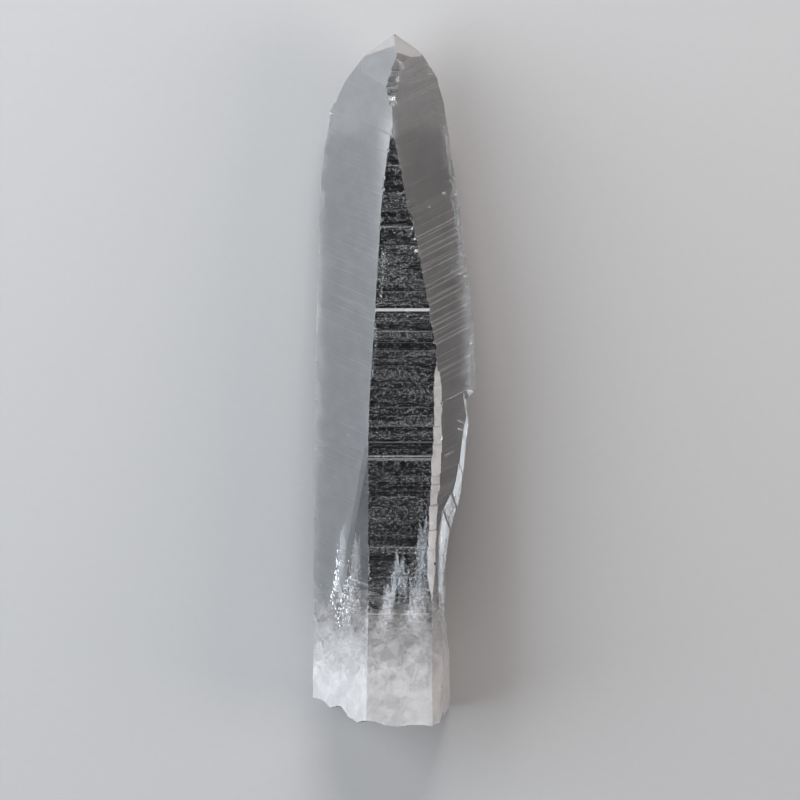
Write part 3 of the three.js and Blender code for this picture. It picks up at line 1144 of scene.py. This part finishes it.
@dataclass
class Veils:
    """The pale healed cracks inside the lower part, as clouds of small thin flakes."""

    finishes: Finishes
    seed: int = 31
    second_seed: float = 40.0
    flat: Triple = (0.8, 2.4, 0.16)
    girth: float = 1.1
    taper: float = 0.7
    barbs: Triple = (2.6, 0.12, 0.8)
    barb_reach: float = 7.0
    turn_low: Triple = (-0.35, -0.8, -0.35)
    turn_high: Triple = (0.35, 0.1, 0.35)
    flake_sizes: Pair = (0.35, 1.2)
    wisps: tuple[Wisp, ...] = (
        Wisp(
            ((-1.6, -35.6, 13.4), (-0.9, -32.0, 13.8), (0.1, -28.6, 14.0), (0.8, -24.9, 14.2)),
            (0.75, 0.9, 0.6),
            2700,
            0.065,
        ),
        Wisp(((1.2, -30.8, 14.0), (1.5, -27.0, 14.0), (1.3, -24.6, 14.0)), (0.7, 1.0, 0.6), 700, 0.05),
        Wisp(((0.4, -26.6, 13.8), (1.8, -27.6, 13.8), (3.2, -28.9, 13.6)), (0.7, 0.6, 0.7), 700, 0.05),
        Wisp(
            ((3.1, -35.2, 14.4), (3.6, -30.4, 14.8), (4.0, -26.2, 15.0), (4.4, -19.8, 15.0)),
            (1.0, 0.9, 0.6),
            5200,
            0.075,
        ),
        Wisp(((2.6, -31.6, 13.8), (3.9, -33.0, 14.0)), (0.6, 0.9, 0.6), 700, 0.055),
        Wisp(((-5.3, -31.6, 12.8), (-4.9, -27.6, 13.2), (-4.3, -22.6, 13.6)), (1.1, 1.3, 0.5), 2800, 0.08),
        Wisp(((-7.3, -30.6, 10.2), (-6.9, -26.8, 10.6), (-6.7, -22.6, 10.8)), (1.0, 1.3, 0.5), 2300, 0.08),
        Wisp(((-6.0, -33.6, 11.6), (-5.2, -30.0, 12.0)), (1.4, 1.4, 0.6), 1300, 0.065),
    )

    def build(self) -> bpy.types.Object:
        """Builds all the streaks.

        Returns:
            The streaks as one piece.
        """
        together = bmesh.new()
        for number, wisp in enumerate(self.wisps):
            together.from_mesh(self.streak(wisp, number))
        mesh = bpy.data.meshes.new("inner_veils")
        together.to_mesh(mesh)
        together.free()
        mesh.materials.append(self.finishes.materials[Finish.VEIL])
        mesh.transform(Matrix.Scale(MM, 4))
        return shown(mesh, "inner_veils")

    def streak(self, wisp: Wisp, number: int) -> bpy.types.Mesh:
        """Builds one streak of flakes along its path.

        Args:
            wisp: the streak's path and sizes.
            number: the streak's own number, which also seeds it.

        Returns:
            The streak, in millimetres.
        """
        path = bpy.data.meshes.new("wisp_path")
        path.from_pydata(wisp.path, [(i, i + 1) for i in range(len(wisp.path) - 1)], [])
        sizes = {"Count": wisp.flakes, "Spread": wisp.spread, "Size": wisp.size, "Shape": self.flat}
        shape = Shape(f"streak_{number}", {**sizes, "Seed": self.seed + number})
        tree, given = shape.tree, shape.given
        line = tree.add("GeometryNodeMeshToCurve", {"Mesh": given["Geometry"]}).outputs[0]
        wanted = {"Curve": line, "Count": given["Count"]}
        points = tree.add("GeometryNodeCurveToPoints", wanted, mode="COUNT").outputs[0]
        low = tree.scaled(given["Spread"], (-1.0, -1.0, -1.0))
        first, second = (
            tree.random(low, given["Spread"], tree.math("ADD", given["Seed"], offset), vector=True)
            for offset in (0.0, self.second_seed)
        )
        both = tree.add("ShaderNodeVectorMath", {0: first, 1: second, 2: first}, operation="MULTIPLY_ADD")
        order = tree.add("GeometryNodeInputIndex").outputs[0]
        share = tree.math("DIVIDE", order, given["Count"])
        narrowed = tree.math("MULTIPLY_ADD", share, -self.taper, self.girth)
        moved = tree.moved(points, tree.sized(both.outputs[0], narrowed))
        place = tree.add("GeometryNodeInputPosition").outputs[0]
        ragged = tree.math("SUBTRACT", tree.noise(tree.scaled(place, self.barbs)), NOISE_MEAN)
        reach = tree.math("MULTIPLY", ragged, self.barb_reach)
        moved = tree.moved(moved, tree.add("ShaderNodeCombineXYZ", {1: reach}).outputs[0])
        turn = tree.random(self.turn_low, self.turn_high, TURN_SEED, vector=True)
        size = tree.math("MULTIPLY", tree.random(*self.flake_sizes, given["Seed"]), given["Size"])
        flake = self.finishes.materials[Finish.VEIL]
        shape.strew(moved, tree.spike(), turn, tree.sized(given["Shape"], size), flake)
        return shape.made_from(path, f"streak_{number}")


@dataclass(frozen=True)
class Mark:
    """A small pale scar: its path as the camera sees it, in millimetres from the picture's
    middle, with its width, how many grains it has and their size."""

    path: tuple[Pair, ...]
    width: float
    grains: int
    size: float


@dataclass
class Marks:
    """The bright nicks and hairlines on the front of the crystal, in millimetres."""

    finishes: Finishes
    studio: Studio
    seed: int = 41
    sight_start: float = 60.0
    grain_sizes: Pair = (0.6, 1.7)
    marks: tuple[Mark, ...] = (
        Mark(((1.7, 23.9),), 0.12, 14, 0.06),
        Mark(((2.04, 22.5),), 0.10, 12, 0.06),
        Mark(((2.25, 20.8), (1.8, 19.9), (1.3, 18.9)), 0.03, 26, 0.035),
        Mark(((2.25, 20.8),), 0.12, 16, 0.07),
        Mark(((7.3, 18.0), (7.8, 17.75), (8.4, 17.7), (9.0, 17.95)), 0.04, 34, 0.04),
        Mark(((7.3, 18.05),), 0.08, 10, 0.06),
        Mark(((4.55, 40.35),), 0.08, 8, 0.06),
        Mark(((5.05, 40.2),), 0.06, 6, 0.05),
        Mark(((5.9, 35.1), (6.1, 34.0)), 0.10, 16, 0.04),
        Mark(((5.9, 29.2), (6.3, 29.0)), 0.16, 22, 0.06),
        Mark(((3.6, 27.0), (4.2, 26.9)), 0.10, 12, 0.05),
        Mark(((8.0, -2.8), (9.1, -3.3)), 0.07, 34, 0.05),
        Mark(((7.9, -3.9), (9.0, -4.4)), 0.06, 28, 0.05),
        Mark(((6.2, -8.0), (6.9, -7.5), (7.4, -7.1)), 0.12, 50, 0.05),
        Mark(((7.7, -14.6), (7.2, -16.0), (6.9, -16.9)), 0.14, 60, 0.06),
        Mark(((6.9, -18.8), (6.3, -21.0), (6.1, -22.4)), 0.16, 80, 0.06),
        Mark(((-0.1, 47.3), (0.25, 46.8), (0.3, 46.3)), 0.12, 46, 0.06),
        Mark(((-0.3, 45.2), (-0.35, 44.4)), 0.12, 30, 0.06),
        Mark(((-1.0, 42.0), (-0.8, 41.6), (-1.2, 41.2)), 0.2, 60, 0.07),
        Mark(((-0.9, 39.8), (-1.0, 37.6), (-0.95, 36.6)), 0.12, 40, 0.05),
        Mark(((3.6, 46.8), (4.6, 46.3), (5.0, 45.4)), 0.3, 70, 0.06),
        Mark(((-9.1, 43.4), (-9.6, 42.0), (-9.9, 41.0), (-9.8, 40.0)), 0.22, 80, 0.07),
        Mark(((-2.3, 20.5), (-2.4, 17.5), (-2.7, 14.0)), 0.10, 90, 0.05),
        Mark(((-3.3, 10.0), (-3.6, 6.0), (-4.0, 3.0)), 0.10, 80, 0.045),
    )

    def build(self, crystal: bpy.types.Object) -> bpy.types.Object:
        """Sets the grains of every mark on the crystal's surface.

        Args:
            crystal: the finished crystal.

        Returns:
            The marks as one piece.
        """
        surface = BVHTree.FromObject(crystal, bpy.context.evaluated_depsgraph_get())
        dice = random.Random(self.seed)
        places: list[Vector] = []
        sizes: list[float] = []
        for mark in self.marks:
            for _ in range(mark.grains):
                across, up = self.along(mark.path, dice.random())
                across += dice.gauss(0.0, mark.width)
                up += dice.gauss(0.0, mark.width)
                found = self.struck(surface, across * MM, up * MM)
                if found is not None:
                    places.append(found)
                    sizes.append(mark.size * MM * dice.uniform(*self.grain_sizes))
        points = point_mesh(places, "mark_points")
        width = points.attributes.new(GRAIN_SIZE, "FLOAT", "POINT")
        width.data.foreach_set("value", sizes)
        return shown(self.grains().made_from(points, "surface_marks"), "surface_marks")

    def along(self, path: tuple[Pair, ...], share: float) -> Pair:
        """Finds the point at a share of a path's legs.

        Args:
            path: the path's points.
            share: how far along the legs, from 0 to 1.

        Returns:
            The point.
        """
        legs = len(path) - 1
        if legs == 0:
            return path[0]
        leg = min(int(share * legs), legs - 1)
        (x0, y0), (x1, y1) = path[leg], path[leg + 1]
        part = share * legs - leg
        return x0 + (x1 - x0) * part, y0 + (y1 - y0) * part

    def struck(self, surface: BVHTree, across: float, up: float) -> Vector | None:
        """Finds where the line of sight through a point of the picture meets the crystal.

        Args:
            surface: the crystal's surface.
            across: how far the point is to the right of the picture's middle, in metres.
            up: how far it is above the picture's middle, in metres.

        Returns:
            The place, or None where the line passes the crystal.
        """
        sideways, upright, away = self.studio.directions()
        middle = Vector(self.studio.target)
        start = middle + sideways * across + upright * up + away * self.sight_start * MM
        return surface.ray_cast(start, -away)[0]

    def grains(self) -> Shape:
        """Builds the tree that sets one grain at each point, at the point's own size.

        Returns:
            The tree, with a seed as its input.
        """
        shape = Shape("mark_grains", {"Seed": self.seed})
        tree = shape.tree
        size = tree.attribute(GRAIN_SIZE, "FLOAT")
        turn = tree.random(NO_TURN, ANY_TURN, shape.given["Seed"], vector=True)
        shape.strew(shape.points(), tree.spike(), turn, size, self.finishes.materials[Finish.SPECK])
        return shape


@dataclass(frozen=True)
class Softbox:
    """One rectangular studio light, with its place and size in metres."""

    name: str
    place: Triple
    size: Pair
    power: float
    colour: Triple


@dataclass
class Studio:
    """The pale floor, the soft lights, the dim room round them and the camera, in metres."""

    floor_size: float = 3.0
    floor_drop: float = 0.00005
    floor_tone: float = 0.47
    floor_tooth: float = 0.985
    floor_tooth_per_metre: float = 900.0
    floor_roughness: float = 0.85
    lens: float = 400.0
    sensor: float = 36.0
    frame_width: float = 0.1125
    lean: float = 5.0
    target: Triple = (0.00095, -0.00304, 0.009)
    room_high: Triple = (0.06, 0.065, 0.075)
    room_low: Triple = (0.30, 0.31, 0.32)
    room_dark_from: float = 0.7
    lights: tuple[Softbox, ...] = (
        Softbox("key", (-0.42, 0.05, 0.24), (0.5, 0.6), 4.0, (0.87, 0.935, 1.0)),
        Softbox("fill", (0.45, -0.05, 0.25), (0.25, 0.3), 1.1, (1.0, 0.90, 0.84)),
        Softbox("strip", (0.0, 0.52, 0.24), (0.35, 0.15), 3.4, (1.0, 0.97, 0.96)),
    )

    def build(self) -> None:
        """Builds the floor, lights, room and camera."""
        self.floor()
        for light in self.lights:
            self.softbox(light)
        self.room()
        self.camera()

    def floor(self) -> None:
        """Lays the floor just under the crystal."""
        half = self.floor_size / 2.0
        sides = ((-half, -half), (half, -half), (half, half), (-half, half))
        corners = [(x, y, -self.floor_drop) for x, y in sides]
        mesh = bpy.data.meshes.new("floor")
        mesh.from_pydata(corners, [], [(0, 1, 2, 3)])
        material = bpy.data.materials.new("pale_floor")
        material.use_nodes = True
        tree = Tree(material.node_tree)
        shader = material.node_tree.nodes["Principled BSDF"].inputs
        place = tree.add("ShaderNodeTexCoord").outputs["Object"]
        tooth = tree.noise(place, self.floor_tooth_per_metre, detail=3.0)
        tone = tree.spread(tooth, 0.3, 0.7, self.floor_tone * self.floor_tooth, self.floor_tone)
        tree.join(tone, shader["Base Color"])
        shader["Roughness"].default_value = self.floor_roughness
        mesh.materials.append(material)
        placed(mesh, "floor")

    def softbox(self, light: Softbox) -> None:
        """Hangs one light, turned to the crystal.

        Args:
            light: the light.
        """
        lamp = bpy.data.lights.new(light.name, "AREA")
        lamp.shape = "RECTANGLE"
        lamp.size, lamp.size_y = light.size
        lamp.energy = light.power
        lamp.color = light.colour
        made = bpy.data.objects.new(light.name, lamp)
        made.location = light.place
        away = Vector(self.target) - Vector(light.place)
        made.rotation_euler = away.to_track_quat("-Z", "Y").to_euler()
        bpy.context.scene.collection.objects.link(made)

    def room(self) -> None:
        """Makes the dim room: darker overhead, paler at the horizon."""
        world = bpy.data.worlds.new("room")
        world.use_nodes = True
        bpy.context.scene.world = world
        tree = Tree(world.node_tree)
        way = tree.add("ShaderNodeTexCoord").outputs["Generated"]
        height = tree.add("ShaderNodeSeparateXYZ", {0: way}).outputs[2]
        tone = tree.blended(tree.spread(height, 0.0, self.room_dark_from), self.room_low, self.room_high)
        tree.join(tone, world.node_tree.nodes["Background"].inputs["Color"])

    def directions(self) -> tuple[Vector, Vector, Vector]:
        """Works out the picture's directions.

        Returns:
            The directions to its right, up it, and towards the camera.
        """
        tilt = math.radians(self.lean)
        away = Vector((0.0, math.sin(tilt), math.cos(tilt)))
        upright = Vector((0.0, math.cos(tilt), -math.sin(tilt)))
        return upright.cross(away), upright, away

    def camera(self) -> None:
        """Places the camera above the crystal, leaning a little towards its point."""
        lens = bpy.data.cameras.new("camera")
        lens.lens = self.lens
        lens.sensor_width = self.sensor
        made = bpy.data.objects.new("camera", lens)
        bpy.context.scene.collection.objects.link(made)
        sideways, upright, away = self.directions()
        made.location = Vector(self.target) + away * (self.frame_width * self.lens / self.sensor)
        made.rotation_euler = Matrix((sideways, upright, away)).transposed().to_euler()
        bpy.context.scene.camera = made


def report(piece: bpy.types.Object) -> None:
    """Logs a piece and how many faces it has."""
    LOG.info("%s: %d faces", piece.name, len(piece.data.polygons))


def main() -> None:
    logging.basicConfig(level=logging.INFO, format="%(message)s")
    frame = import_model()
    finishes = Finishes()
    crystal = Crystal(finishes).build(frame["nodes"][CAD_NODE])
    report(crystal)
    report(Specks(finishes).build(crystal))
    report(Veils(finishes).build())
    studio = Studio()
    report(Marks(finishes, studio).build(crystal))
    studio.build()
    scene = bpy.context.scene
    scene.cycles.caustics_refractive = False
    scene.cycles.caustics_reflective = False
    scene.view_settings.view_transform = "Standard"


if __name__ == "__main__":
    main()
